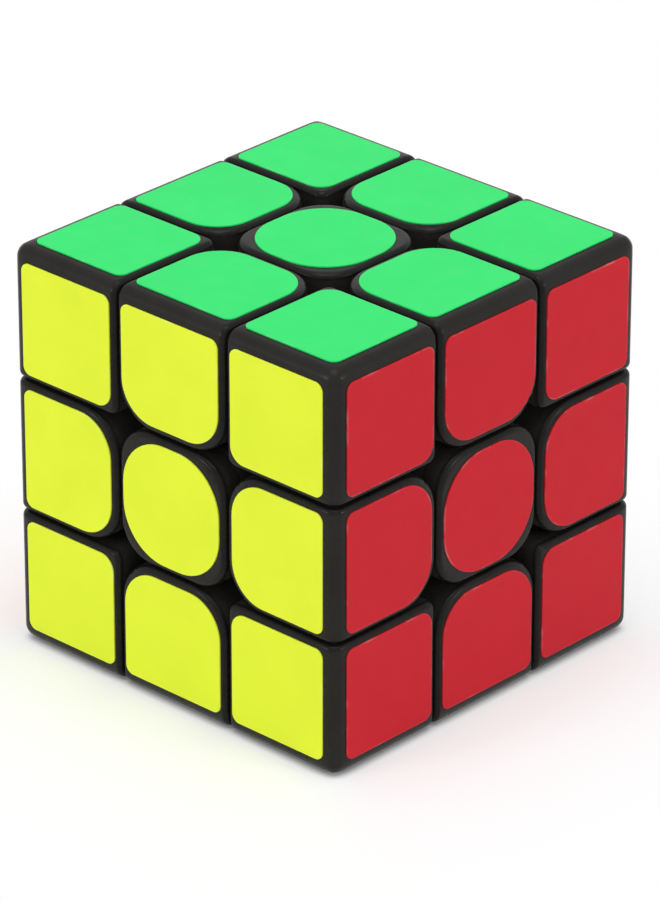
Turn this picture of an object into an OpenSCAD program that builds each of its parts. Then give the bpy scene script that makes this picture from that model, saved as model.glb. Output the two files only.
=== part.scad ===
// Twisty puzzle cube with three layers each way: 26 outer pieces held on a six-armed core by sprung screws.
// The origin is the middle of the core, where the six turning axes meet. +Z is up and -Y is the front.
// All sizes are in millimetres.

/* [Cube] */
// Width over the stickers of two opposite faces
cube_w = 56; // [50:0.5:64]
// Gap between two pieces that slide on each other
running_gap = 0.3; // [0.2:0.05:0.5]

/* [Rounding] */
// Radius along the outer edges of the cube
outer_round = 1.9; // [1:0.1:3]
// Radius along the rims of the tiles, beside the seams
rim_round = 0.8; // [0.4:0.1:1.2]
// Radius of a corner piece's tile where four tiles meet
corner_tile_round = 1.4; // [1:0.1:3]
// Radius of an edge piece's tile where four tiles meet
edge_tile_round = 5.8; // [4:0.1:7]
// Radius of a centre piece's tile at its four corners
centre_tile_round = 5.1; // [3:0.1:8]

/* [Stickers] */
// Thickness of a sticker
sticker_t = 0.2; // [0.1:0.05:0.4]
// Bare plastic between a sticker and the rounding beside it
sticker_margin = 0.1; // [0:0.01:0.3]
// More bare plastic on an edge piece, on the side towards the centre piece
edge_sticker_setback = 0.15; // [0:0.05:0.5]
// Radius of the sticker corners beside the cube's outer edges
sticker_round = 1.2; // [0.6:0.1:2]
// Radius of a corner piece's sticker where four tiles meet
corner_sticker_round = 2.2; // [1.2:0.1:4]
// Radius of an edge piece's sticker where four tiles meet
edge_sticker_round = 5.2; // [3:0.1:6]
// Radius of a centre piece's sticker at its four corners
centre_sticker_round = 7; // [4:0.1:7.2]

/* [Feet] */
// How far the feet reach under the neighbouring layer
foot_hook = 3.3; // [2:0.1:3.6]
// How far the round track of the feet lies outside the inner corners of the corner pieces
foot_bite = 3.8; // [3:0.1:4.4]
// Radius of the hollow through a corner piece's foot
corner_foot_bore_r = 1.6; // [1:0.1:2.2]
// Radius of the hollow through an edge piece's foot
edge_foot_bore_r = 1.6; // [1:0.1:2.2]

/* [Walls] */
// Wall of the hollow pieces behind their tiles
tile_wall = 1.3; // [1:0.1:2.5]
// Wall of the hollow pieces along the seams
seam_wall = 1.7; // [1.4:0.1:3]
// Height of a centre cap
cap_t = 3.3; // [2.6:0.1:4]
// Depth of the snap ring under a centre cap
cap_ring_depth = 2; // [1:0.1:3]
// Wall of the snap ring
cap_ring_wall = 0.8; // [0.6:0.1:1.2]
// Play between the snap ring and the screw pocket
snap_play = 0.1; // [0.05:0.05:0.3]

/* [Core and screws] */
// Radius of the ball in the middle of the core
core_r = 6.2; // [6.2:0.1:7.5]
// Radius of the six arms
arm_r = 4; // [3:0.1:4]
// Distance from the middle of the core to the end of an arm
arm_reach = 8.5; // [8:0.1:9.5]
// Diameter of a screw's shank
screw_d = 2.4; // [2:0.1:3]
// Play of the screw thread in its arm, on the radius
thread_play = 0.05; // [0.02:0.01:0.1]
// Distance from the middle of the core to the tip of a screw
screw_tip = 2.6; // [2.4:0.1:5]
// Diameter of a screw's head
head_d = 6; // [5:0.1:6.4]
// Height of a screw's head
head_h = 2; // [1.4:0.1:2.6]
// Width across the corners of the hexagon socket in a screw's head
socket_d = 2.9; // [2:0.1:3.4]
// Depth of the hexagon socket
socket_depth = 1.2; // [0.8:0.1:1.4]
// Diameter of a washer
washer_d = 6.4; // [5.4:0.1:6.6]
// Thickness of a washer
washer_t = 0.5; // [0.3:0.1:0.8]
// Radius of the screw pocket in a centre base
pocket_r = 4.3; // [4.1:0.1:4.4]
// Thickness of the pocket's floor
pocket_floor = 1.7; // [1.2:0.1:2.5]

/* [Springs] */
// Outer diameter of a spring
spring_d = 5.8; // [5:0.1:6.2]
// Diameter of the spring wire
wire_d = 0.6; // [0.4:0.05:0.7]
// Length of a spring between the pocket's floor and the washer
spring_len = 5.7; // [5:0.1:6.5]
// Number of turns in a spring
spring_turns = 5; // [3:1:5]
// Play at each end of a spring
spring_play = 0.1; // [0.05:0.05:0.2]
// Play between a washer and the head of its screw
washer_play = 0.05; // [0.02:0.01:0.1]

/* [Hidden] */
$fn = 48;
half_gap = running_gap / 2;
// Height of the plastic tiles above the middle, under the stickers
tile_h = cube_w / 2 - sticker_t;
// Plane between two layers, and the plane under it that the feet reach to
layer = cube_w / 6;
hook = layer - foot_hook;
// Round track that the feet run in
track_r = layer * sqrt(3) + foot_bite;
foot_r = track_r - half_gap;
roof_r = track_r + half_gap;
// Where the outer pieces and the middle slices start and stop
outside = layer + half_gap;
inside = layer - half_gap;
foot_start = hook + half_gap;
neck = hook - half_gap;
// Heights along a turning axis
stem_start = arm_reach + running_gap;
floor_top = stem_start + pocket_floor;
spring_start = floor_top + spring_play;
washer_start = spring_start + spring_len + spring_play;
head_start = washer_start + washer_t + washer_play;
cap_start = tile_h - cap_t;
shank_r = screw_d / 2;
arm_start = sqrt(core_r * core_r - arm_r * arm_r) - running_gap;
// Reach of the tools that cut right through
far = cube_w;
// Sides and steps of the spring wire
wire_sides = 6;
steps_per_turn = 8;

plastic = [0.13, 0.13, 0.12];
core_plastic = [0.75, 0.75, 0.73];
steel = [0.66, 0.67, 0.69];
FACE_NAMES = [["left", "right"], ["front", "back"], ["bottom", "top"]];
FACE_COLOURS = [
    [[0.96, 0.45, 0.1], [0.77, 0.19, 0.22]],
    [[0.9, 0.96, 0.25], [0.94, 0.94, 0.92]],
    [[0.1, 0.35, 0.8], [0.28, 0.93, 0.49]],
];

// A place is a direction from the core. A centre has one of its signs set, an edge two and a corner three
SIGNS = [-1, 0, 1];
PLACES = [for (x = SIGNS, y = SIGNS, z = SIGNS) [x, y, z]];
function tiles(place) = place * place;
CENTRES = [for (p = PLACES) if (tiles(p) == 1) p];
EDGES = [for (p = PLACES) if (tiles(p) == 2) p];
CORNERS = [for (p = PLACES) if (tiles(p) == 3) p];

function side(sign) = sign > 0 ? 1 : 0;
function word(place, axis) = place[axis] == 0 ? "" : str("_", FACE_NAMES[axis][side(place[axis])]);
function name(kind, place) = str(kind, word(place, 2), word(place, 1), word(place, 0));
function tile_colour(place, axis) = FACE_COLOURS[axis][side(place[axis])];

// Outlines, seen along the axis that they are drawn out on
module rounded_rect(low, high, radii) {
    // The radii run round from the low corner: low-low, high-low, high-high, low-high
    corners = [low, [high.x, low.y], high, [low.x, high.y]];
    inward = [[1, 1], [-1, 1], [-1, -1], [1, -1]];
    difference() {
        translate(low) square(high - low);
        for (i = [0:3])
            if (radii[i] > 0) translate(corners[i]) to_signs(inward[i]) corner_cut(radii[i]);
    }
}

module corner_cut(r) {
    difference() {
        translate([-r, -r]) square(2 * r);
        translate([r, r]) circle(r);
    }
}

module corner_outline() {
    rounded_rect(
        [outside, outside], [tile_h, tile_h],
        [corner_tile_round, rim_round, outer_round, rim_round]
    );
}

module edge_outline() {
    rounded_rect(
        [-inside, outside], [inside, tile_h],
        [edge_tile_round, edge_tile_round, rim_round, rim_round]
    );
}

module edge_end_outline() {
    rounded_rect([outside, outside], [tile_h, tile_h], [0, rim_round, outer_round, rim_round]);
}

module centre_outline(reach, r) {
    rounded_rect([-reach, -reach], [reach, reach], [r, r, r, r]);
}

// Places
module to_signs(signs) {
    mirror([signs.x < 0 ? 1 : 0, 0, 0]) mirror([0, signs.y < 0 ? 1 : 0, 0]) children();
}

module to_place(place) {
    to_signs(place) mirror([0, 0, place.z < 0 ? 1 : 0]) children();
}

module cycle(steps) {
    // Each step takes X to Y, Y to Z and Z to X
    if (steps == 1) rotate([90, 0, 90]) children();
    else if (steps == 2) rotate([-90, 0, 0]) rotate([0, 0, -90]) children();
    else children();
}

module swap_yz() {
    mirror([0, 1, -1]) children();
}

function axis_of(place) = place.x != 0 ? 0 : place.y != 0 ? 1 : 2;
function free_axis_of(place) = place.x == 0 ? 0 : place.y == 0 ? 1 : 2;

module at_centre(place) {
    // Takes +Z to the centre's own axis
    to_place(place) cycle((axis_of(place) + 1) % 3) children();
}

module at_edge(place) {
    // Takes X to the axis that the edge piece lies along
    to_place(place) cycle(free_axis_of(place)) children();
}

// Corner piece, drawn in the corner where X, Y and Z are positive
module corner_shape() {
    hollow_start = outside + seam_wall;
    hollow_w = tile_h - tile_wall - hollow_start;
    to_diagonal = [0, acos(1 / sqrt(3)), 45];
    difference() {
        union() {
            intersection() {
                linear_extrude(far) corner_outline();
                cycle(1) linear_extrude(far) corner_outline();
                cycle(2) linear_extrude(far) corner_outline();
            }
            intersection() {
                translate([foot_start, foot_start, foot_start]) cube(far);
                sphere(foot_r);
            }
        }
        translate([hollow_start, hollow_start, hollow_start]) cube(hollow_w);
        rotate(to_diagonal) cylinder(r = corner_foot_bore_r, h = (hollow_start + tile_wall) * sqrt(3));
    }
}

// Edge piece, drawn along X with its tiles on the +Y and +Z faces
module edge_shape() {
    difference() {
        union() {
            difference() {
                edge_block();
                for (sign = [-1, 1]) to_signs([sign, 1]) edge_track();
            }
            intersection() {
                translate([-neck, foot_start, foot_start]) cube([2 * neck, far, far]);
                sphere(foot_r);
            }
        }
        edge_hollow(inside - seam_wall, outside + edge_tile_round);
        edge_hollow(neck - seam_wall, outside + seam_wall);
        rotate([-45, 0, 0]) cylinder(r = edge_foot_bore_r, h = (outside + seam_wall + tile_wall) * sqrt(2));
    }
}

module edge_block() {
    intersection() {
        linear_extrude(far) edge_outline();
        swap_yz() linear_extrude(far) edge_outline();
        cycle(1) linear_extrude(far, center = true) edge_end_outline();
    }
}

module edge_track() {
    // Room beside the neck for the feet of the corner pieces
    intersection() {
        sphere(roof_r);
        translate([neck, hook, hook]) cube(far);
    }
}

module edge_hollow(half_length, start) {
    w = tile_h - tile_wall - start;
    translate([-half_length, start, start]) cube([2 * half_length, w, w]);
}

// Centre piece, drawn on the +Z axis
module centre_base_shape() {
    hole_r = shank_r + running_gap;
    difference() {
        union() {
            difference() {
                linear_extrude(cap_start) centre_outline(inside, centre_tile_round);
                sphere(roof_r);
            }
            translate([0, 0, stem_start]) cylinder(r = neck, h = (roof_r + cap_start) / 2 - stem_start);
        }
        translate([0, 0, floor_top]) cylinder(r = pocket_r, h = far);
        cylinder(r = hole_r, h = far);
    }
}

module centre_cap_shape() {
    ring_r = pocket_r - snap_play;
    ring_start = cap_start - cap_ring_depth;
    difference() {
        union() {
            translate([0, 0, cap_start]) rimmed_plate();
            translate([0, 0, ring_start]) cylinder(r = ring_r, h = cap_ring_depth + tile_wall / 2);
        }
        translate([0, 0, ring_start - tile_wall])
            cylinder(r = ring_r - cap_ring_wall, h = cap_ring_depth + cap_t);
    }
}

module rimmed_plate() {
    // The cap's plate with its rim rounded all the way: bars along the straight sides, sectors at the corners
    middle = inside - centre_tile_round;
    translate([-middle, 0, 0]) cycle(1) linear_extrude(2 * middle) plate_section(-inside, inside);
    for (turn = [0:90:270]) rotate(turn) {
        translate([middle, middle, 0]) rotate_extrude(angle = 90) plate_section(0, centre_tile_round);
    }
    for (sign = [-1, 1]) to_signs([sign, 1]) translate([0, middle, 0]) rotate([90, 0, 0])
        linear_extrude(2 * middle) plate_section(middle, inside);
}

module plate_section(low, high) {
    low_round = low < 0 ? rim_round : 0;
    rounded_rect([low, 0], [high, cap_t], [0, 0, rim_round, low_round]);
}

// Stickers, drawn on the +Z face
module corner_sticker() {
    low = outside + rim_round + sticker_margin;
    high = tile_h - outer_round - sticker_margin;
    on_tile() rounded_rect(
        [low, low], [high, high],
        [corner_sticker_round, sticker_round, sticker_round, sticker_round]
    );
}

module edge_sticker() {
    half_w = inside - rim_round - sticker_margin;
    low = outside + rim_round + sticker_margin + edge_sticker_setback;
    high = tile_h - outer_round - sticker_margin;
    on_tile() rounded_rect(
        [-half_w, low], [half_w, high],
        [edge_sticker_round, edge_sticker_round, sticker_round, sticker_round]
    );
}

module on_tile() {
    translate([0, 0, tile_h]) linear_extrude(sticker_t) children();
}

// Screw, washer and spring, drawn on the +Z axis
module screw() {
    difference() {
        union() {
            translate([0, 0, screw_tip]) cylinder(d = screw_d, h = head_start + head_h / 2 - screw_tip);
            translate([0, 0, head_start]) cylinder(d = head_d, h = head_h);
        }
        translate([0, 0, head_start + head_h - socket_depth]) cylinder(d = socket_d, h = head_h, $fn = 6);
    }
}

module washer() {
    translate([0, 0, washer_start]) difference() {
        cylinder(d = washer_d, h = washer_t);
        translate([0, 0, -washer_t]) cylinder(r = shank_r + thread_play, h = 3 * washer_t);
    }
}

module spring() {
    steps = spring_turns * steps_per_turn;
    coil_r = (spring_d - wire_d) / 2;
    rise = spring_len - wire_d;
    points = [
        for (i = [0:steps], j = [0:wire_sides - 1])
            let (
                turn = 360 * i / steps_per_turn,
                round_wire = 360 * j / wire_sides,
                r = coil_r + wire_d / 2 * cos(round_wire),
                z = spring_start + wire_d / 2 + rise * i / steps + wire_d / 2 * sin(round_wire)
            )
            [r * cos(turn), r * sin(turn), z]
    ];
    sides = [
        for (i = [0:steps - 1], j = [0:wire_sides - 1])
            let (here = i * wire_sides, next = here + wire_sides, k = (j + 1) % wire_sides)
            each [[here + j, here + k, next + k], [here + j, next + k, next + j]]
    ];
    first_end = [for (j = [wire_sides - 1:-1:0]) j];
    last_end = [for (j = [0:wire_sides - 1]) steps * wire_sides + j];
    polyhedron(points, concat(sides, [first_end, last_end]));
}

// Nodes
module core_spider() color(core_plastic) difference() {
    union() {
        sphere(core_r);
        for (p = CENTRES) at_centre(p)
            translate([0, 0, arm_start]) cylinder(r = arm_r, h = arm_reach - arm_start);
    }
    for (p = CENTRES) at_centre(p)
        translate([0, 0, screw_tip - running_gap]) cylinder(r = shank_r + thread_play, h = far);
}

module tension_screw_sets() color(steel) for (p = CENTRES) at_centre(p) {
    screw();
    washer();
    spring();
}

module centre_base(place) color(plastic) at_centre(place) centre_base_shape();

module centre_cap(place) color(plastic) at_centre(place) centre_cap_shape();

module centre_sticker(place) color(tile_colour(place, axis_of(place)))
    at_centre(place) on_tile() centre_outline(inside - rim_round - sticker_margin, centre_sticker_round);

module edge(place) color(plastic) at_edge(place) edge_shape();

module edge_stickers(place) {
    along = free_axis_of(place);
    color(tile_colour(place, (along + 2) % 3)) at_edge(place) edge_sticker();
    color(tile_colour(place, (along + 1) % 3)) at_edge(place) swap_yz() edge_sticker();
}

module corner(place) color(plastic) to_place(place) corner_shape();

module corner_stickers(place) for (axis = [0:2])
    color(tile_colour(place, axis)) to_place(place) cycle((axis + 1) % 3) corner_sticker();

core_spider();
tension_screw_sets();
for (p = CENTRES) {
    centre_base(p);
    centre_cap(p);
    centre_sticker(p);
}
for (p = EDGES) {
    edge(p);
    edge_stickers(p);
}
for (p = CORNERS) {
    corner(p);
    corner_stickers(p);
}
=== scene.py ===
# %% [markdown]
# # A twisty puzzle cube with three layers
#
# The real cube is 26 small plastic pieces that hook into each other round a hidden, sprung core, with a
# vinyl sticker on every outer tile. The solids come packed from CAD, each on the body that it turns
# with. This lesson dresses them: every rounded edge gets its true blend, every sticker becomes a piece
# of its own, and each surface gets a finish. The frame is loaded first, because the main sizes are read
# from it.

import itertools
import math

import bmesh
import bpy
import numpy as np
from mathutils import Matrix, Vector


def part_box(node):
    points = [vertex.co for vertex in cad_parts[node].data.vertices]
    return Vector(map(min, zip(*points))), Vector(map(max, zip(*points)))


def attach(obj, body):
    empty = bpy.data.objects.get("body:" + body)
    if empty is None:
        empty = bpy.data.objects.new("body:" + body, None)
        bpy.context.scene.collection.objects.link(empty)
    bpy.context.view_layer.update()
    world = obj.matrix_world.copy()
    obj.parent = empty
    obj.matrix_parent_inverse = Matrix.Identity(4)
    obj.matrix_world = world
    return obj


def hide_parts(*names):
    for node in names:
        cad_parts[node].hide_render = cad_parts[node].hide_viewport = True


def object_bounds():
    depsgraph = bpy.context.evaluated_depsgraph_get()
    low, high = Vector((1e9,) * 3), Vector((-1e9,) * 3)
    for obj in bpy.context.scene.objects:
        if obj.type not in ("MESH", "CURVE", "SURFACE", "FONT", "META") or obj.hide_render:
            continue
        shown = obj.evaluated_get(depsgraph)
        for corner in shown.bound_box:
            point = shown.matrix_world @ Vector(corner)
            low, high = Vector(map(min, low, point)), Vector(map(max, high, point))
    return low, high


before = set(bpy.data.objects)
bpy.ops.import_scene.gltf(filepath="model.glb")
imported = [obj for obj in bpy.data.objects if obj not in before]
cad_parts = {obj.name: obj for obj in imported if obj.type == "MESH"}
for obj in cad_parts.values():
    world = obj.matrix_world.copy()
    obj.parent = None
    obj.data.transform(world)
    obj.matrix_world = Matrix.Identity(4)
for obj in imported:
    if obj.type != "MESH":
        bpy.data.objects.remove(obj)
cad_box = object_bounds()
MM = 0.001
scene = bpy.context.scene


def in_mm(box):
    """The two corners of a box in millimetres, rounded for printing."""
    return [[round(value / MM, 2) for value in corner] for corner in box]


print("CAD box in mm:", in_mm(cad_box))

# %% [markdown]
# ## Camera
#
# The photograph looks down on three faces with a long lens, so the cube's parallel edges hardly run
# together. A camera can be placed by eye, but here the seven corners of the cube in the picture were
# fitted, which gives the turn, the rise, the distance and the lens. The lens shift then puts the middle
# of the cube on its pixel, so that the camera itself can look straight at the origin.

# %% Camera
PICTURE_W, PICTURE_H = 660, 900
CUBE_PIXEL_X, CUBE_PIXEL_Y = 325.3, 437.8
CAMERA_TURN, CAMERA_RISE = 43.3, 26.26
CAMERA_DISTANCE = 0.7726
CAMERA_LENS = 243.36
CAMERA_NEAR = 0.01


def direction(turn, rise):
    """Unit vector that is turned from the front towards the right side and raised, in degrees."""
    turn, rise = math.radians(turn), math.radians(rise)
    return Vector((math.sin(turn) * math.cos(rise), -math.cos(turn) * math.cos(rise), math.sin(rise)))


def aim(item, turn, rise, distance):
    """Puts a lamp or camera at a distance in a direction, looking at the middle of the cube."""
    item.location = direction(turn, rise) * distance
    item.rotation_euler = direction(turn, rise).to_track_quat("Z", "Y").to_euler()
    scene.collection.objects.link(item)


camera = bpy.data.objects.new("camera", bpy.data.cameras.new("camera"))
camera.data.lens = CAMERA_LENS
camera.data.shift_x = (PICTURE_W / 2 - CUBE_PIXEL_X) / PICTURE_H
camera.data.shift_y = (CUBE_PIXEL_Y - PICTURE_H / 2) / PICTURE_H
camera.data.clip_start = CAMERA_NEAR
aim(camera, CAMERA_TURN, CAMERA_RISE, CAMERA_DISTANCE)
scene.camera = camera
scene.view_settings.view_transform = "Standard"
print("camera at", [round(value, 4) for value in camera.location])

# %% [markdown]
# ## Light
#
# Product pictures are taken in a white tent: light from everywhere, and a few large lamps that draw soft
# streaks on rounded edges. A white world gives the tent, and area lamps give the streaks. A brighter
# world would give a white background too, but it would wash out the cube. So rays that come straight
# from the camera or from a reflection see pure white, and only the other rays see the weaker light of
# the tent.

# %% World
TENT_LIGHT = 0.6
WHITE = (1, 1, 1, 1)


def maths(tree, operation, first, second):
    """Result of a calculation with two sockets."""
    step = tree.nodes.new("ShaderNodeMath")
    step.operation = operation
    tree.links.new(first, step.inputs[0])
    tree.links.new(second, step.inputs[1])
    return step.outputs[0]


def seen_directly(tree):
    """Socket that is 1 for rays from the camera, a reflection or a clear material, and 0 for light."""
    path = tree.nodes.new("ShaderNodeLightPath")
    seen = path.outputs["Is Camera Ray"]
    for ray in ("Is Glossy Ray", "Is Transmission Ray"):
        seen = maths(tree, "MAXIMUM", seen, path.outputs[ray])
    return seen


def mix_shaders(tree, share, first, second, output):
    """Shows a mix of two shaders, which is all of the second where the share is 1."""
    mix = tree.nodes.new("ShaderNodeMixShader")
    tree.links.new(share, mix.inputs[0])
    tree.links.new(first.outputs[0], mix.inputs[1])
    tree.links.new(second.outputs[0], mix.inputs[2])
    tree.links.new(mix.outputs[0], tree.nodes[output].inputs["Surface"])


world = bpy.data.worlds.new("white tent")
world.use_nodes = True
scene.world = world
tent = world.node_tree
tent_walls = tent.nodes["Background"]
backdrop = tent.nodes.new("ShaderNodeBackground")
for background, strength in ((tent_walls, TENT_LIGHT), (backdrop, 1)):
    background.inputs["Color"].default_value = WHITE
    background.inputs["Strength"].default_value = strength
mix_shaders(tent, seen_directly(tent), tent_walls, backdrop, "World Output")
print("tent light", TENT_LIGHT)

# %% Lamps
SOFTBOXES = {
    "overhead_softbox": dict(turn=43, rise=80, distance=1.8, width=1.2, watts=13.4),
    "left_softbox": dict(turn=-22, rise=17, distance=2.0, width=0.6, watts=7.9),
    "right_softbox": dict(turn=108, rise=17, distance=2.0, width=0.6, watts=7.8),
}
for name, box in SOFTBOXES.items():
    lamp = bpy.data.lights.new(name, "AREA")
    lamp.shape = "SQUARE"
    lamp.size = box["width"]
    lamp.energy = box["watts"]
    aim(bpy.data.objects.new(name, lamp), box["turn"], box["rise"], box["distance"])
print("lamps:", ", ".join(SOFTBOXES))

# %% [markdown]
# ## Floor
#
# The cube stands on white paper. A plain diffuse floor would turn grey further off and show a horizon,
# so the paper mixes a real diffuse white, which keeps a faint shadow, with the pure white of the
# background. Right beside the cube the pure white fades out, so that the dark line where its rounded
# lower edges meet the paper stays. Further off it takes over.

# %% White of the floor
OUTER_ROUND = 1.9 * MM
CONTACT_START, CONTACT_END = OUTER_ROUND - 1.3 * MM, OUTER_ROUND + 0.3 * MM
WHITE_START, WHITE_END = 8 * MM, 36 * MM
SHADOW_SHARE = 0.58
NOISE_LOW, NOISE_HIGH = 0.3, 0.7


def spread(tree, source, low, high, start=NOISE_LOW, end=NOISE_HIGH):
    """Number that runs from low to high while the source, mostly a noise, runs from start to end."""
    scale = tree.nodes.new("ShaderNodeMapRange")
    for socket, value in zip(("From Min", "From Max", "To Min", "To Max"), (start, end, low, high)):
        scale.inputs[socket].default_value = value
    tree.links.new(source, scale.inputs["Value"])
    return scale.outputs["Result"]


def from_footprint(tree):
    """Distance from the flat part of the cube's lower face, inside its rounded edges."""
    straight = cad_box[1].x - OUTER_ROUND
    place = tree.nodes.new("ShaderNodeTexCoord").outputs["Object"]
    for operation, value in (("ABSOLUTE", 0), ("SUBTRACT", straight), ("MAXIMUM", 0), ("LENGTH", 0)):
        step = tree.nodes.new("ShaderNodeVectorMath")
        step.operation = operation
        step.inputs[1].default_value = (value, value, value)
        tree.links.new(place, step.inputs[0])
        place = step.outputs["Value" if operation == "LENGTH" else "Vector"]
    return place


def white_share(tree):
    """Share of pure white in the floor: none below the cube, some beside it and all of it further off."""
    away = from_footprint(tree)
    beside = spread(tree, away, low=0, high=1 - SHADOW_SHARE, start=CONTACT_START, end=CONTACT_END)
    further = spread(tree, away, low=0, high=SHADOW_SHARE, start=WHITE_START, end=WHITE_END)
    return maths(tree, "ADD", beside, further)


print("the shadow fades out from", round(WHITE_START / MM), "to", round(WHITE_END / MM), "mm off")

# %% Floor
FLOOR_HALF_W = 3
FLOOR_WHITE = 0.96

floor_shape = bmesh.new()
bmesh.ops.create_grid(floor_shape, x_segments=1, y_segments=1, size=FLOOR_HALF_W)
floor_mesh = bpy.data.meshes.new("floor")
floor_shape.to_mesh(floor_mesh)
floor_shape.free()
floor = bpy.data.objects.new("floor", floor_mesh)
floor.location.z = cad_box[0].z
scene.collection.objects.link(floor)

paper = bpy.data.materials.new("white paper floor")
paper.use_nodes = True
tree = paper.node_tree
tree.nodes.remove(tree.nodes["Principled BSDF"])
lit_paper = tree.nodes.new("ShaderNodeBsdfDiffuse")
lit_paper.inputs["Color"].default_value = (FLOOR_WHITE, FLOOR_WHITE, FLOOR_WHITE, 1)
white_paper = tree.nodes.new("ShaderNodeEmission")
white_paper.inputs["Color"].default_value = WHITE
white_paper.inputs["Strength"].default_value = 1
seen_white = maths(tree, "MULTIPLY", seen_directly(tree), white_share(tree))
mix_shaders(tree, seen_white, lit_paper, white_paper, "Material Output")
floor_mesh.materials.append(paper)
print("floor at", round(floor.location.z / MM, 2), "mm")

# %% [markdown]
# ## Sizes that all the pieces share
#
# Typing the sizes again would let the looks drift away from the solids. The boxes of a few CAD nodes
# give the planes that matter: the top of the tiles, the sides of a middle slice, the start of the feet.
# Only radii, walls and the reach of the feet, which no box shows, are written as named values.

# %% Planes from the frame
half = cad_box[1].z
tile_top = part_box("centre_cap_top")[1].z
slice_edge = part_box("centre_cap_top")[1].x
base_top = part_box("centre_base_top")[1].z
foot_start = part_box("edge_top_front")[0].z
running_gap = 2 * (half / 3 - slice_edge)
layer_edge = slice_edge + running_gap
neck = foot_start - running_gap
print(f"tile top {tile_top / MM:.2f} mm, layers start {layer_edge / MM:.3f} mm from the middle")

# %% Radii and walls
RIM_ROUND = 0.8 * MM
CORNER_TILE_ROUND = 1.4 * MM
EDGE_TILE_ROUND = 5.8 * MM
CENTRE_TILE_ROUND = 5.1 * MM
FOOT_ROUND = 0.5 * MM
HOLLOW_ROUND = 0.6 * MM
TILE_WALL = 1.3 * MM
SEAM_WALL = 1.7 * MM
FOOT_BITE = 3.8 * MM
foot_r = half / 3 * math.sqrt(3) + FOOT_BITE - running_gap / 2
track_r = foot_r + running_gap
print(f"feet end {foot_r / MM:.2f} mm from the middle, and run under a roof at {track_r / MM:.2f} mm")

# %% [markdown]
# ## Where the pieces go
#
# A place on the cube is named by the faces that it shows: one for a centre, two for an edge, three for a
# corner. Each shape is drawn once, with a tile on +Z and its other tiles on +Y and +X, and then turned
# to its places. A turn is given by where Y and Z go. X follows as their cross product, so a piece is
# only ever turned and never mirrored, which would flip its faces inside out.

# %% Places
FACES = {
    "top": Vector((0, 0, 1)), "bottom": Vector((0, 0, -1)),
    "front": Vector((0, -1, 0)), "back": Vector((0, 1, 0)),
    "left": Vector((-1, 0, 0)), "right": Vector((1, 0, 0)),
}
UPRIGHT, DEPTH, SIDE = ("top", "bottom"), ("front", "back"), ("left", "right")
CORNERS = list(itertools.product(UPRIGHT, DEPTH, SIDE))
EDGES = []
for first, second in itertools.combinations((UPRIGHT, DEPTH, SIDE), 2):
    EDGES += itertools.product(first, second)


def turn_to(z_face, others=()):
    """Turn that takes +Z to a face and the other tiles to the other faces of the place."""
    z_to = FACES[z_face]
    if not others:
        others = [next(face for face in FACES if not FACES[face].dot(z_to))]
    y_to = FACES[others[0]]
    x_to = y_to.cross(z_to)
    if len(others) == 2 and x_to.dot(FACES[others[1]]) < 0:
        y_to = FACES[others[1]]
        x_to = y_to.cross(z_to)
    return Matrix((x_to, y_to, z_to)).transposed().to_4x4()


print(len(CORNERS), "corners,", len(EDGES), "edges,", len(FACES), "centres")

# %% [markdown]
# ## Satin black plastic
#
# The pieces are moulded in black plastic with a fine satin grain from the mould. Under soft light such a
# black is not zero: it shows a dark grey sheen. The rims beside the seams are painted a deeper black, as
# painted shade, and the walls below them are painted greyer the further down they lie, as painted light
# in the gaps. A texture could not find those zones by itself, so each moulded mesh carries two marks for
# them, and noise of several sizes breaks up the colour, the gloss and the grain. The bases of the centre
# pieces lie so deep that they are painted grey all over, with the same painted light.

# %% Helpers for materials
def new_finish(name):
    """A new material with its node tree and its main shader."""
    material = bpy.data.materials.new(name)
    material.use_nodes = True
    return material, material.node_tree, material.node_tree.nodes["Principled BSDF"]


def noise(tree, grain, detail):
    """Noise whose lumps are about one grain wide, fixed to the piece."""
    place = tree.nodes.new("ShaderNodeTexCoord")
    cloud = tree.nodes.new("ShaderNodeTexNoise")
    cloud.inputs["Scale"].default_value = 1 / grain
    cloud.inputs["Detail"].default_value = detail
    tree.links.new(place.outputs["Object"], cloud.inputs["Vector"])
    return cloud.outputs["Fac"]


def tint(tree, source, first, second, start=NOISE_LOW, end=NOISE_HIGH):
    """Colour that runs from the first to the second while the source runs from start to end."""
    ramp = tree.nodes.new("ShaderNodeValToRGB")
    for stop, position, colour in zip(ramp.color_ramp.elements, (start, end), (first, second)):
        stop.position = position
        stop.color = (*colour, 1)
    tree.links.new(source, ramp.inputs["Fac"])
    return ramp.outputs["Color"]


print("noise is taken to run from", NOISE_LOW, "to", NOISE_HIGH)

# %% Marks, colour and grain
# Places of a mix node's sockets for colours, which share their names with those for numbers
MIX_SHARE, MIX_FIRST, MIX_SECOND, MIX_RESULT = 0, 6, 7, 2


def attribute_mix(tree, attribute, patches, colour, other):
    """The colour, turned towards the other one in patches, as far as the mesh's own attribute says."""
    marked = tree.nodes.new("ShaderNodeAttribute")
    marked.attribute_name = attribute
    blend = tree.nodes.new("ShaderNodeMix")
    blend.data_type = "RGBA"
    blend.inputs[MIX_SECOND].default_value = (*other, 1)
    tree.links.new(maths(tree, "MULTIPLY", marked.outputs["Fac"], patches), blend.inputs[MIX_SHARE])
    tree.links.new(colour, blend.inputs[MIX_FIRST])
    return blend.outputs[MIX_RESULT]


def set_finish(tree, shader, colour, roughness):
    """Gives the shader its colour and roughness."""
    tree.links.new(colour, shader.inputs["Base Color"])
    tree.links.new(roughness, shader.inputs["Roughness"])


def grain_bump(tree, shader, source, height):
    """Raises the surface by the source, up to a height."""
    bump = tree.nodes.new("ShaderNodeBump")
    bump.inputs["Distance"].default_value = height
    tree.links.new(source, bump.inputs["Height"])
    tree.links.new(bump.outputs["Normal"], shader.inputs["Normal"])


print("moulded meshes carry the marks rim and deep")

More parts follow.
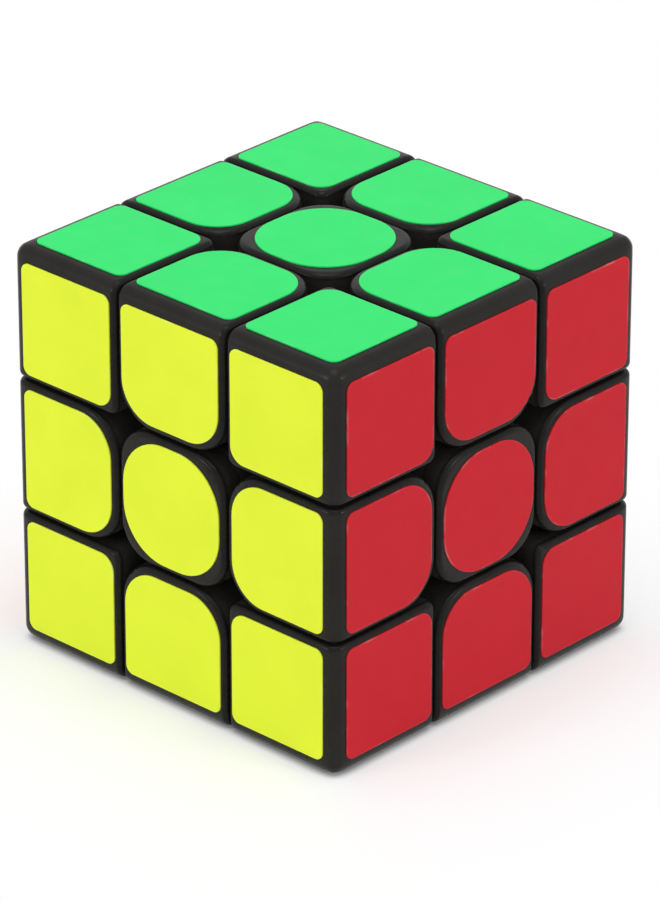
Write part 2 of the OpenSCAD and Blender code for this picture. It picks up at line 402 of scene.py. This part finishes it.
# %% Satin plastic
PLASTIC_SPECULAR = 0.12


def satin_plastic(name, dark, light, seam_rim_shade=None, deep=None):
    """Moulded plastic: cloudy colour, satin grain, painted shade on marked rims, painted light on deep
    walls.
    """
    material, tree, shader = new_finish(name)
    colour = tint(tree, noise(tree, grain=6 * MM, detail=3), dark, light)
    if seam_rim_shade:
        # Painted shade: the marked seam rims are darkened in patches.
        rubbed_and_seam_shade = spread(tree, noise(tree, grain=1.6 * MM, detail=4), low=0.6, high=1)
        colour = attribute_mix(tree, "rim", rubbed_and_seam_shade, colour, seam_rim_shade)
    if deep:
        # Painted light: the marked deep walls are lightened in patches.
        painted_light_patches = spread(tree, noise(tree, grain=3 * MM, detail=2), low=0.7, high=1)
        colour = attribute_mix(tree, "deep", painted_light_patches, colour, deep)
    roughness = spread(tree, noise(tree, grain=1.2 * MM, detail=3), low=0.24, high=0.36)
    set_finish(tree, shader, colour, roughness)
    shader.inputs["Specular IOR Level"].default_value = PLASTIC_SPECULAR
    grain_bump(tree, shader, noise(tree, grain=0.12 * MM, detail=1), height=0.004 * MM)
    return material


# The darker rim colour is painted shade along the seams; the greyer deep colour is painted light in the
# gaps.
black_plastic = satin_plastic(
    "satin black plastic", dark=(0.0137, 0.0125, 0.0104), light=(0.0178, 0.0165, 0.0142),
    seam_rim_shade=(0.0065, 0.0062, 0.0056), deep=(0.06, 0.058, 0.053),
)
# Greyer plastic for the centre bases: painted light deep in the gaps.
gap_light_plastic = satin_plastic("black plastic with painted gap light", dark=(0.056, 0.054, 0.049), light=(0.062, 0.06, 0.055))
core_plastic = satin_plastic("off-white core plastic", dark=(0.66, 0.65, 0.61), light=(0.74, 0.73, 0.69))
for plastic in (black_plastic, gap_light_plastic, core_plastic):
    print("made", plastic.name)

# %% [markdown]
# ## Sticker vinyl
#
# A sticker is thin vinyl, printed in one bright colour and cut with a blade. Its face is satin with a
# faint orange peel and a few fine rub marks. The cut side is paler, because the blade opens the film
# there, and it catches the light as a thin line round each sticker. The face and the cut side are
# therefore two materials for each colour, set on their own faces of the mesh.

# %% Face of the vinyl
FADE = 0.95
RUB_PALENESS = 0.1
VINYL_SPECULAR = 0.15


def paler(colour, share):
    """The colour, part of the way to white."""
    return tuple(value + (1 - value) * share for value in colour)


def vinyl_face(name, colour):
    """Satin vinyl with a trace of fading, orange peel and rub marks."""
    material, tree, shader = new_finish(name)
    faded = tuple(value * FADE for value in colour)
    cloudy = tint(tree, noise(tree, grain=9 * MM, detail=3), faded, colour)
    rubs = spread(tree, noise(tree, grain=3 * MM, detail=5), low=0.1, high=1, start=0.52, end=0.7)
    rubbed_and_seam_shade = attribute_mix(tree, "rim", rubs, cloudy, paler(colour, RUB_PALENESS))
    roughness = spread(tree, noise(tree, grain=2.5 * MM, detail=5), low=0.3, high=0.44)
    set_finish(tree, shader, rubbed_and_seam_shade, roughness)
    shader.inputs["Specular IOR Level"].default_value = VINYL_SPECULAR
    grain_bump(tree, shader, noise(tree, grain=0.7 * MM, detail=2), height=0.006 * MM)
    return material


print("faded patches keep", FADE, "of their colour")

# %% Cut side and colours
CUT_PALENESS = 0.14
FRESH_PALENESS = CUT_PALENESS / 8
CUT_SPECULAR = 0.3
VINYL_COLOURS = {
    "green": (0.016, 0.77, 0.158), "yellow": (0.762, 0.888, 0.03), "red": (0.543, 0.005, 0.016),
    "blue": (0.02, 0.1, 0.55), "white": (0.86, 0.86, 0.84), "orange": (0.9, 0.2, 0.015),
}


def vinyl_cut(name, colour):
    """The cut side of a sticker, paler in patches."""
    material, tree, shader = new_finish(name)
    fresh, pale = paler(colour, FRESH_PALENESS), paler(colour, CUT_PALENESS)
    patchy = tint(tree, noise(tree, grain=2 * MM, detail=4), fresh, pale, start=0.5, end=0.7)
    roughness = spread(tree, noise(tree, grain=0.5 * MM, detail=2), low=0.45, high=0.65)
    set_finish(tree, shader, patchy, roughness)
    shader.inputs["Specular IOR Level"].default_value = CUT_SPECULAR
    return material


vinyl = {}
for word, colour in VINYL_COLOURS.items():
    vinyl[word] = vinyl_face(f"{word} vinyl", colour), vinyl_cut(f"{word} vinyl cut side", colour)
print("vinyl colours:", ", ".join(vinyl))

# %% [markdown]
# ## Zinc-plated steel
#
# The screws, washers and springs inside the core are plated steel. Plating is bright but never a mirror:
# it has a cloudy gloss and fine drawing marks. A metallic shader with noise in its roughness is enough
# here, since these parts show only when the cube is taken apart.

# %% Zinc-plated steel
ZINC_DULL, ZINC_BRIGHT = (0.55, 0.56, 0.58), (0.68, 0.69, 0.7)

zinc_steel, tree, shader = new_finish("zinc-plated steel")
shader.inputs["Metallic"].default_value = 1
cloudy = tint(tree, noise(tree, grain=1.5 * MM, detail=3), ZINC_DULL, ZINC_BRIGHT)
roughness = spread(tree, noise(tree, grain=0.4 * MM, detail=4), low=0.22, high=0.42)
set_finish(tree, shader, cloudy, roughness)
grain_bump(tree, shader, noise(tree, grain=0.1 * MM, detail=1), height=0.003 * MM)
print("made", zinc_steel.name)

# %% [markdown]
# ## Rounded skins
#
# Every moulded piece is a block whose edges have different radii: small along the seams, larger along
# the outer edges, others again where four tiles meet. A bevel modifier can't mix such radii cleanly at a
# corner. A distance field can: for each face, the field says how far a point lies outside it, and a
# rounded join of these fields blends the faces with a true ball corner. A fine cube mesh is then pushed
# out along rays from the middle of the block until the field is zero. Its grid lines crowd towards the
# edges of the block, where the rounding needs them.

# %% Rounded join
def round_join(radius, *fields):
    """Field of the space that is inside all the fields, with its edges rounded by the radius."""
    stack = np.stack(np.broadcast_arrays(*fields))
    return np.minimum(stack.max(axis=0), -radius) + np.linalg.norm(np.maximum(stack + radius, 0), axis=0)


print("a radius of 1 mm takes", round(float(round_join(1, 0, 0)), 2), "mm off a square edge")

# %% Cast skin
RIM_ZONE = 1.2 * MM
FINE_ROWS, COARSE_ROWS = 8, 8
HALVINGS = 40
FURTHEST = 4.0


def to_object(name, shape):
    """Turns a finished bmesh into an object in the scene."""
    bmesh.ops.recalc_face_normals(shape, faces=shape.faces[:])
    mesh = bpy.data.meshes.new(name)
    shape.to_mesh(mesh)
    shape.free()
    item = bpy.data.objects.new(name, mesh)
    scene.collection.objects.link(item)
    return item


def grid_lines(reach, fine_rows, coarse_rows):
    """Places of the grid lines from one end of a side to the other, close together near both ends."""
    rim = min(RIM_ZONE, reach / 2)
    fine = reach - np.linspace(0, rim, fine_rows)
    coarse = np.linspace(reach - rim, 0, coarse_rows + 1)[1:]
    lines = np.concatenate([fine, coarse])
    return np.concatenate([-lines, lines[-2::-1]])


def cast_skin(name, field, low, high, fine_rows=FINE_ROWS, coarse_rows=COARSE_ROWS):
    """Object whose skin lies on the zero of the field, cast through a box with the given corners."""
    low, high = np.array(low), np.array(high)
    lines = [grid_lines(reach, fine_rows, coarse_rows) for reach in (high - low) / 2]
    even = np.linspace(-1, 1, len(lines[0]))
    shape = bmesh.new()
    bmesh.ops.create_cube(shape, size=2)
    bmesh.ops.subdivide_edges(shape, edges=shape.edges[:], cuts=len(even) - 2, use_grid_fill=True)
    grid = np.array([corner.co for corner in shape.verts])
    rays = np.stack([np.interp(grid[:, k], even, lines[k]) for k in range(3)])
    middle = ((high + low) / 2)[:, None]
    inside, outside = np.zeros(len(grid)), np.full(len(grid), FURTHEST)
    for _ in range(HALVINGS):
        halfway = (inside + outside) / 2
        beyond = field(*(middle + rays * halfway)) > 0
        inside, outside = np.where(beyond, inside, halfway), np.where(beyond, halfway, outside)
    for corner, place in zip(shape.verts, (middle + rays * inside).T):
        corner.co = place
    return to_object(name, shape)


print("grid lines across a block:", len(grid_lines(half, FINE_ROWS, COARSE_ROWS)))

# %% [markdown]
# ## Joining and cutting
#
# A moulded piece is a tile block with a foot joined on and hollows cut out. Blender's boolean modifier
# does that on closed meshes. It is read back from the evaluated scene, so nothing depends on what is
# selected, and each tool is deleted once it is used. Where a cut passes close by a corner it leaves
# slivers, so the result is welded. Counting the edges that don't have two faces then proves that it is
# still a closed skin.

# %% Join and cut
ROD_SIDES = 48


def combine(piece, operation, *tools):
    """Joins the tools to the piece, or cuts them out of it."""
    for tool in tools:
        step = piece.modifiers.new("combine", "BOOLEAN")
        step.operation = operation
        step.solver = "EXACT"
        step.object = tool
        result = piece.evaluated_get(bpy.context.evaluated_depsgraph_get())
        mesh = bpy.data.meshes.new_from_object(result)
        piece.modifiers.clear()
        piece.data = mesh
        bpy.data.objects.remove(tool)


def rod(name, along, radius, start, end, sides=ROD_SIDES):
    """Round bar about a line through the origin, between two distances from it."""
    turn = Vector(along).normalized().to_track_quat("Z", "Y").to_matrix().to_4x4()
    shape = bmesh.new()
    bmesh.ops.create_cone(
        shape, cap_ends=True, segments=sides, radius1=radius, radius2=radius, depth=end - start,
        matrix=turn @ Matrix.Translation((0, 0, (start + end) / 2)),
    )
    return to_object(name, shape)


def hollow(name, low, high):
    """Closed rounded box, to be cut out of a piece."""
    def box(x, y, z):
        sides = [field for k, value in enumerate((x, y, z)) for field in (low[k] - value, value - high[k])]
        return round_join(HOLLOW_ROUND, *sides)
    return cast_skin(name, box, low, high, fine_rows=4, coarse_rows=2)


print("round bars have", ROD_SIDES, "sides")

# %% Weld and shade
SHARP_ANGLE = math.radians(32)
WELD_REACH = 0.001 * MM


def weld(shape):
    """Merges corners that a cut has left almost on top of each other, so that no face is a sliver."""
    bmesh.ops.remove_doubles(shape, verts=shape.verts[:], dist=WELD_REACH)
    bmesh.ops.dissolve_degenerate(shape, edges=shape.edges[:], dist=WELD_REACH)
    loose = [edge for edge in shape.edges if not edge.link_faces]
    bmesh.ops.delete(shape, geom=loose, context="EDGES")


def take_mesh(item):
    """Mesh of a finished shape, welded and shaded smooth between its sharp edges. The object goes."""
    mesh = item.data
    shape = bmesh.new()
    shape.from_mesh(mesh)
    weld(shape)
    open_edges = sum(len(edge.link_faces) != 2 for edge in shape.edges)
    shape.to_mesh(mesh)
    shape.free()
    mesh.shade_smooth()
    mesh.set_sharp_from_angle(angle=SHARP_ANGLE)
    print(f"{item.name}: {len(mesh.polygons)} faces, {open_edges} open edges")
    bpy.data.objects.remove(item)
    return mesh


print("sharp above", round(math.degrees(SHARP_ANGLE)), "degrees")

# %% [markdown]
# ## Corner pieces
#
# A corner piece shows three tiles. Its three outer edges have the cube's outer radius, its rims along
# the seams a small one, and the inner corner of each tile one in between. Below sits a foot, part of a
# ball, that hooks under the neighbouring edges. The piece is hollow, with a bore through its foot, as
# the moulded one is. All eight could be modelled in place, but one shape that is turned to its places
# keeps them alike.

# %% Corner fields
def from_middle(x, y, z):
    """Distance from the middle of the cube."""
    return np.sqrt(x * x + y * y + z * z)


def corner_outside(x, y, z):
    """The three outer faces."""
    return round_join(OUTER_ROUND, x - tile_top, y - tile_top, z - tile_top)


def corner_inside(x, y, z):
    """The three faces along the seams."""
    return round_join(CORNER_TILE_ROUND, layer_edge - x, layer_edge - y, layer_edge - z)


def corner_block(x, y, z):
    """All six faces, with a rim between the outer ones and the seams."""
    return round_join(RIM_ROUND, corner_outside(x, y, z), corner_inside(x, y, z))


def corner_foot(x, y, z):
    """The foot, which ends in a ball round the middle of the cube."""
    ball = from_middle(x, y, z) - foot_r
    return round_join(FOOT_ROUND, foot_start - x, foot_start - y, foot_start - z, ball)


cut_off = corner_block(tile_top, tile_top, tile_top)
print(f"rounding takes {cut_off / MM:.2f} mm off the tip of a corner")

# %% Corner shape
# Far corner of the box that the foot is cast through
CORNER_FOOT_END = 15 * MM
CORNER_BORE_R = 1.6 * MM
BORE_START = 5 * MM

hollow_low, hollow_high = layer_edge + SEAM_WALL, tile_top - TILE_WALL
bore_end = (hollow_low + TILE_WALL) * math.sqrt(3)
corner = cast_skin("corner shape", corner_block, [layer_edge] * 3, [tile_top] * 3)
combine(corner, "UNION", cast_skin("corner foot", corner_foot, [foot_start] * 3, [CORNER_FOOT_END] * 3))
combine(
    corner, "DIFFERENCE", hollow("corner hollow", [hollow_low] * 3, [hollow_high] * 3),
    rod("corner bore", (1, 1, 1), CORNER_BORE_R, BORE_START, bore_end),
)
corner_mesh = take_mesh(corner)

# %% Marks of the corners
RIM_DEPTH, RIM_FADE = 1.1 * MM, 0.5 * MM
RIM_SHARPNESS = 4
# Depths over which the painted light on the deep walls grows to its full share
PAINTED_LIGHT_START, PAINTED_LIGHT_END = 2 * MM, 5 * MM
HALF_PAINTED_LIGHT = 0.5


def mark_rims(mesh, outside, inside):
    """Marks the seam rims, for painted shade, and the walls deep below them, for painted light."""
    points = np.array([point.co for point in mesh.vertices]).T
    turned_down = np.clip(RIM_SHARPNESS * (1 + inside(*points) / RIM_ROUND), 0, 1)
    depth = -outside(*points)
    rim = turned_down * np.clip((RIM_DEPTH - depth) / RIM_FADE, 0, 1)
    painted_light_depths = [RIM_DEPTH - RIM_FADE, RIM_DEPTH, PAINTED_LIGHT_START, PAINTED_LIGHT_END]
    deep = np.interp(depth, painted_light_depths, [0, HALF_PAINTED_LIGHT, HALF_PAINTED_LIGHT, 1])
    for name, values in (("rim", rim), ("deep", deep)):
        mesh.attributes.new(name, "FLOAT", "POINT").data.foreach_set("value", values)
    print(f"{mesh.name}: {np.mean(rim > 0):.0%} of the points on a rim, {np.mean(deep > 0):.0%} below it")


mark_rims(corner_mesh, corner_outside, corner_inside)

# %% Place the corners
def place_piece(name, mesh, turn, body, node, slot, *materials):
    """Copies a shape to its place as a piece that rides on a body and stands for a CAD node."""
    copy = mesh.copy()
    copy.transform(turn)
    copy.materials.clear()
    for material in materials:
        copy.materials.append(material)
    piece = bpy.data.objects.new(name, copy)
    scene.collection.objects.link(piece)
    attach(piece, body)
    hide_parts(node)


def place_mouldings(kind, mesh, places):
    """Turns copies of a moulded shape to all its places."""
    for words in places:
        place = "_".join(words)
        body = " ".join((*words, kind))
        turn = turn_to(words[0], words[1:])
        node = f"{kind}_{place}"
        place_piece(f"{kind}_piece_{place}", mesh, turn, body, node, "black_plastic", black_plastic)
    print("placed", len(places), kind, "pieces")


place_mouldings("corner", corner_mesh, CORNERS)

# %% [markdown]
# ## Edge pieces
#
# An edge piece lies along one outer edge of the cube, between two corners. Its two tiles are rounded
# like an arch towards the centre piece, which opens the dark star where four tiles meet. Behind them a
# narrow neck carries the foot, and beside the neck the block is cut away as part of a ball, which is the
# roof of the track that the corners' feet run in. Plain blocks and balls would cut it sharply, so these
# tools are cast from fields as well, which rounds their edges too.

# %% Edge fields
TRACK_ROUND = 0.3 * MM


def edge_outside(x, y, z):
    """The two outer faces."""
    return round_join(OUTER_ROUND, y - tile_top, z - tile_top)


def edge_inside(x, y, z):
    """The faces along the seams, at both ends and behind."""
    behind = round_join(RIM_ROUND, layer_edge - y, layer_edge - z)
    return round_join(EDGE_TILE_ROUND, np.abs(x) - slice_edge, behind)


def edge_block(x, y, z):
    """All the faces, with a rim between the outer ones and the seams."""
    return round_join(RIM_ROUND, edge_outside(x, y, z), edge_inside(x, y, z))


def edge_foot(x, y, z):
    """The foot, which ends in a ball round the middle of the cube."""
    ball = from_middle(x, y, z) - foot_r
    return round_join(FOOT_ROUND, np.abs(x) - neck, foot_start - y, foot_start - z, ball)


def edge_track(x, y, z):
    """The room that the feet of the corners run in, beside the neck."""
    hook = (foot_start + neck) / 2
    return round_join(TRACK_ROUND, neck - x, hook - y, hook - z, from_middle(x, y, z) - track_r)


print(f"the neck of an edge is {2 * neck / MM:.2f} mm wide")

# %% Edge shape
# Far corners of the boxes that the foot and the tracks are cast through
EDGE_FOOT_END, TRACK_END = 16 * MM, 14 * MM
EDGE_BORE_R = 1.6 * MM

edge_low, edge_high = [-slice_edge, layer_edge, layer_edge], [slice_edge, tile_top, tile_top]
edge = cast_skin("edge shape", edge_block, edge_low, edge_high)
left_low, left_high = [-TRACK_END, neck, neck], [-neck, TRACK_END, TRACK_END]
combine(
    edge, "DIFFERENCE", cast_skin("right track", edge_track, [neck] * 3, [TRACK_END] * 3),
    cast_skin("left track", lambda x, y, z: edge_track(-x, y, z), left_low, left_high),
)
foot_low, foot_high = [-neck, foot_start, foot_start], [neck, EDGE_FOOT_END, EDGE_FOOT_END]
combine(edge, "UNION", cast_skin("edge foot", edge_foot, foot_low, foot_high))

wide, narrow = slice_edge - SEAM_WALL, neck - SEAM_WALL
arch_end = layer_edge + EDGE_TILE_ROUND
bore_end = (hollow_low + TILE_WALL) * math.sqrt(2)
combine(
    edge, "DIFFERENCE",
    hollow("tile hollow", [-wide, arch_end, arch_end], [wide, hollow_high, hollow_high]),
    hollow("neck hollow", [-narrow, hollow_low, hollow_low], [narrow, hollow_high, hollow_high]),
    rod("edge bore", (0, 1, 1), EDGE_BORE_R, BORE_START, bore_end),
)
edge_mesh = take_mesh(edge)

# %% Place the edges
mark_rims(edge_mesh, edge_outside, edge_inside)
place_mouldings("edge", edge_mesh, EDGES)

# %% [markdown]
# ## Centre caps
#
# The middle tile of each face is a cap that snaps onto its base and hides the screw. Seen from outside
# it is a square with well-rounded corners. Under it a ring presses into the screw pocket. The cap is
# cast anew, while the base below it stays as its CAD solid, because only its plain sides show, deep in
# the gaps.

# %% Centre cap shape
UP = (0, 0, 1)
CAP_SEAM_ROUND = 0.15 * MM
SNAP_RING_R = 4.2 * MM
SNAP_RING_WALL = 0.8 * MM
SNAP_RING_DEPTH = 2 * MM


def cap_outside(x, y, z):
    """The outer face."""
    return z - tile_top


def cap_inside(x, y, z):
    """The four sides along the seams."""
    return round_join(CENTRE_TILE_ROUND, np.abs(x) - slice_edge, np.abs(y) - slice_edge)


def centre_cap(x, y, z):
    """All the faces, with a rim above and a small radius at the joint with the base."""
    upper = round_join(RIM_ROUND, cap_outside(x, y, z), cap_inside(x, y, z))
    return round_join(CAP_SEAM_ROUND, upper, base_top - z)


cap_low, cap_high = [-slice_edge, -slice_edge, base_top], [slice_edge, slice_edge, tile_top]
cap = cast_skin("centre cap shape", centre_cap, cap_low, cap_high)
ring_start = base_top - SNAP_RING_DEPTH
combine(cap, "UNION", rod("snap ring", UP, SNAP_RING_R, ring_start, base_top + TILE_WALL))
hole_r, hole_end = SNAP_RING_R - SNAP_RING_WALL, tile_top - TILE_WALL
combine(cap, "DIFFERENCE", rod("ring hole", UP, hole_r, ring_start - TILE_WALL, hole_end))
cap_mesh = take_mesh(cap)

# %% Place the caps and finish the bases
def finish_node(node, material):
    """Gives a CAD node that stays a procedural finish."""
    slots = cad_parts[node].data.materials
    slots.clear()
    slots.append(material)


mark_rims(cap_mesh, cap_outside, cap_inside)
for face in FACES:
    node = f"centre_cap_{face}"
    turn = turn_to(face)
    place_piece(f"cap_piece_{face}", cap_mesh, turn, f"{face} centre", node, "black_plastic", black_plastic)
    finish_node(f"centre_base_{face}", gap_light_plastic)
finish_node("core_spider", core_plastic)
print("placed", len(FACES), "caps; bases and core keep their solids")

# %% [markdown]
# ## Stickers
#
# Each tile has one sticker, a little inside its rim: square with one rounder corner on a corner piece,
# arched on an edge piece, nearly round on a centre. Where a sticker is rounder than its tile, a crescent
# of plastic stays bare. A sticker could be a flat decal in the material, but the real one has a
# thickness that catches light, so it is a thin slab with a rounded upper edge. A ring of flat faces
# inside that edge keeps the shading of the face flat.

# %% Sticker outline
ARC_STEPS = 14


def rounded_outline(low, high, radii, inset):
    """Points round a rectangle with a radius for each corner, counterclockwise from the low corner."""
    corners = [(low[0], low[1]), (high[0], low[1]), (high[0], high[1]), (low[0], high[1])]
    inward = [(1, 1), (-1, 1), (-1, -1), (1, -1)]
    points = []
    for quarter, (corner, way, radius) in enumerate(zip(corners, inward, radii)):
        centre = Vector(corner) + Vector(way) * radius
        for step in range(ARC_STEPS + 1):
            angle = math.radians(180 + 90 * quarter + 90 * step / ARC_STEPS)
            points.append(centre + Vector((math.cos(angle), math.sin(angle))) * (radius - inset))
    return points


print("points round a sticker:", 4 * (ARC_STEPS + 1))

# %% Sticker slab
CUT_ROUND = 0.07 * MM
CUT_STEPS = 4
RUB_W, FLAT_RING = 0.18 * MM, 0.4 * MM
sticker_t = half - tile_top


def bridge(shape, below, above):
    """Closed row of faces between two rings of corners."""
    return [shape.faces.new((below[k - 1], below[k], above[k], above[k - 1])) for k in range(len(below))]


def sticker_mesh(name, low, high, radii):
    """Thin slab on the +Z tile: material 0 on its face, material 1 on its cut side and rounded edge."""
    cut = [(0, 0)]
    for step in range(CUT_STEPS + 1):
        angle = math.radians(90 * step / CUT_STEPS)
        cut.append((CUT_ROUND * (1 - math.cos(angle)), sticker_t - CUT_ROUND * (1 - math.sin(angle))))
    flat = [(CUT_ROUND + RUB_W, sticker_t), (CUT_ROUND + FLAT_RING, sticker_t)]
    shape = bmesh.new()
    rim = shape.verts.layers.float.new("rim")
    rings = []
    for inset, height in cut + flat:
        outline = rounded_outline(low, high, radii, inset)
        rings.append([shape.verts.new((point.x, point.y, tile_top + height)) for point in outline])
    for ring in rings[:len(cut)]:
        for corner in ring:
            corner[rim] = 1.0
    for count, (below, above) in enumerate(zip(rings, rings[1:]), start=1):
        for side in bridge(shape, below, above):
            side.material_index = int(count < len(cut))
    shape.faces.new(rings[-1])
    shape.faces.new(rings[0][::-1])
    return take_mesh(to_object(name, shape))


print(f"stickers are {sticker_t / MM:.2f} mm thick")

# %% Sticker shapes
STICKER_MARGIN = 0.1 * MM
EDGE_SETBACK = 0.15 * MM
STICKER_ROUND = 1.2 * MM
CORNER_STICKER_ROUND = 2.2 * MM
EDGE_STICKER_ROUND = 5.2 * MM
CENTRE_STICKER_ROUND = 7 * MM

plain = RIM_ROUND + STICKER_MARGIN
inner, outer = layer_edge + plain, tile_top - OUTER_ROUND - STICKER_MARGIN
across = slice_edge - plain
corner_radii = [CORNER_STICKER_ROUND] + [STICKER_ROUND] * 3
corner_sticker = sticker_mesh("corner sticker", (inner, inner), (outer, outer), corner_radii)
edge_radii = [EDGE_STICKER_ROUND] * 2 + [STICKER_ROUND] * 2
edge_sticker = sticker_mesh("edge sticker", (-across, inner + EDGE_SETBACK), (across, outer), edge_radii)
centre_radii = [CENTRE_STICKER_ROUND] * 4
centre_sticker = sticker_mesh("centre sticker", (-across, -across), (across, across), centre_radii)

# %% Place the stickers
FACE_COLOURS = {
    "top": "green", "bottom": "blue",
    "front": "yellow", "back": "white",
    "left": "orange", "right": "red",
}
STICKERS = {
    "centre": (centre_sticker, "centre_sticker", [(face,) for face in FACES]),
    "edge": (edge_sticker, "edge_stickers", EDGES),
    "corner": (corner_sticker, "corner_stickers", CORNERS),
}
placed = 0
for kind, (mesh, node, places) in STICKERS.items():
    for words in places:
        place = "_".join(words)
        body = " ".join((*words, kind))
        for face in words:
            turn = turn_to(face, [word for word in words if word != face])
            colour = FACE_COLOURS[face]
            place_piece(
                f"sticker_{colour}_{place}", mesh, turn, body, f"{node}_{place}",
                f"sticker_{colour}", *vinyl[colour],
            )
            placed += 1
print("placed", placed, "stickers")

# %% [markdown]
# ## Screws, washers and springs
#
# Six screws hold the centre pieces to the core, each through a washer and a spring that sets how firmly
# the layers press together. They are hidden, but a library part is also taken apart on screen. The screw
# is a grid round its axis whose radius follows a slanting wave, which makes a true thread, and its
# hexagon socket is cut out. The spring is a tube swept along a helix whose first and last turns lie
# close, as on a real compression spring.

# %% Turned parts
TURN_STEPS = 32


def close_tube(shape, rings):
    """Faces between the rings, and a cap on the first and on the last one."""
    for below, above in zip(rings, rings[1:]):
        bridge(shape, below, above)
    shape.faces.new(rings[0][::-1])
    shape.faces.new(rings[-1])


def turned_part(name, profile, groove=lambda height, angle: 0):
    """Closed part turned about Z from (radius, height) pairs, less the depth of a groove."""
    shape = bmesh.new()
    rings = []
    for radius, height in profile:
        ring = []
        for step in range(TURN_STEPS):
            angle = math.tau * step / TURN_STEPS
            r = radius - groove(height, angle)
            ring.append(shape.verts.new((r * math.cos(angle), r * math.sin(angle), height)))
        rings.append(ring)
    close_tube(shape, rings)
    return to_object(name, shape)


print("turned parts have", TURN_STEPS, "sides")

# %% Screw
HEAD_R, HEAD_H, HEAD_CHAMFER = 3 * MM, 2 * MM, 0.3 * MM
SHANK_R, SCREW_TIP, TIP_TAPER = 1.2 * MM, 2.6 * MM, 0.4 * MM
THREAD_DEPTH, THREAD_PITCH, THREAD_END = 0.22 * MM, 0.8 * MM, 8.5 * MM
THREAD_ROWS = 90
SOCKET_R, SOCKET_DEPTH, SOCKET_SIDES = 1.45 * MM, 1.2 * MM, 6
head_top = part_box("tension_screw_sets")[1].z
head_start = head_top - HEAD_H


def thread_groove(height, angle):
    """Depth of the thread groove: a wave that climbs one pitch in each turn and fades at both ends."""
    wave = (height / THREAD_PITCH - angle / math.tau) % 1
    reach = min(height - SCREW_TIP, THREAD_END - height)
    fade = min(max(reach / THREAD_PITCH, 0), 1)
    return THREAD_DEPTH * fade * abs(2 * wave - 1)


shank = [(SHANK_R, height) for height in np.linspace(SCREW_TIP, THREAD_END, THREAD_ROWS)]
screw_profile = [
    (SHANK_R / 2, SCREW_TIP - TIP_TAPER),
    *shank,
    (SHANK_R, head_start),
    (HEAD_R - HEAD_CHAMFER / 2, head_start),
    (HEAD_R, head_start + HEAD_CHAMFER / 2),
    (HEAD_R, head_top - HEAD_CHAMFER),
    (HEAD_R - HEAD_CHAMFER, head_top),
]
screw = turned_part("screw", screw_profile, thread_groove)
socket_start, socket_end = head_top - SOCKET_DEPTH, head_top + SOCKET_DEPTH
combine(screw, "DIFFERENCE", rod("socket", UP, SOCKET_R, socket_start, socket_end, sides=SOCKET_SIDES))
screw_mesh = take_mesh(screw)

# %% Washer
WASHER_R, WASHER_T = 3.2 * MM, 0.5 * MM
WASHER_CHAMFER, WASHER_PLAY = 0.1 * MM, 0.05 * MM
washer_end = head_start - WASHER_PLAY
washer_start = washer_end - WASHER_T

washer_profile = [
    (WASHER_R - WASHER_CHAMFER, washer_start),
    (WASHER_R, washer_start + WASHER_CHAMFER),
    (WASHER_R, washer_end - WASHER_CHAMFER),
    (WASHER_R - WASHER_CHAMFER, washer_end),
]
washer = turned_part("washer", washer_profile)
combine(washer, "DIFFERENCE", rod("washer hole", UP, SHANK_R + WASHER_PLAY, 0, head_top))
washer_mesh = take_mesh(washer)

# %% Spring
WIRE_R, WIRE_SIDES = 0.3 * MM, 14
COIL_R, STEPS_PER_TURN = 2.6 * MM, 40
SPRING_LEN, SPRING_PLAY, SPRING_TURNS = 5.7 * MM, 0.1 * MM, 5
CLOSED_TURNS, CLOSED_PITCH = 0.8, 0.64 * MM
spring_start = washer_start - SPRING_PLAY - SPRING_LEN


def coil_height(turns):
    """Height along the spring: close turns at both ends, open ones between."""
    closed_rise = CLOSED_TURNS * CLOSED_PITCH
    rise = SPRING_LEN - 2 * WIRE_R
    marks = [0, CLOSED_TURNS, SPRING_TURNS - CLOSED_TURNS, SPRING_TURNS]
    return np.interp(turns, marks, [0, closed_rise, rise - closed_rise, rise])


spring_shape = bmesh.new()
rings = []
for step in range(SPRING_TURNS * STEPS_PER_TURN + 1):
    turns = step / STEPS_PER_TURN
    angle = math.tau * turns
    ring = []
    for side in range(WIRE_SIDES):
        round_wire = math.tau * side / WIRE_SIDES
        r = COIL_R + WIRE_R * math.cos(round_wire)
        height = spring_start + WIRE_R + coil_height(turns) + WIRE_R * math.sin(round_wire)
        ring.append(spring_shape.verts.new((r * math.cos(angle), r * math.sin(angle), height)))
    rings.append(ring)
close_tube(spring_shape, rings)
spring_mesh = take_mesh(to_object("spring", spring_shape))

# %% Place the screws, washers and springs
HARDWARE = {"screw": screw_mesh, "washer": washer_mesh, "spring": spring_mesh}
for face in FACES:
    turn = turn_to(face)
    for kind, mesh in HARDWARE.items():
        place_piece(f"{kind}_{face}", mesh, turn, "core", "tension_screw_sets", "spring_steel", zinc_steel)
print("placed", len(FACES), "each of", ", ".join(HARDWARE))
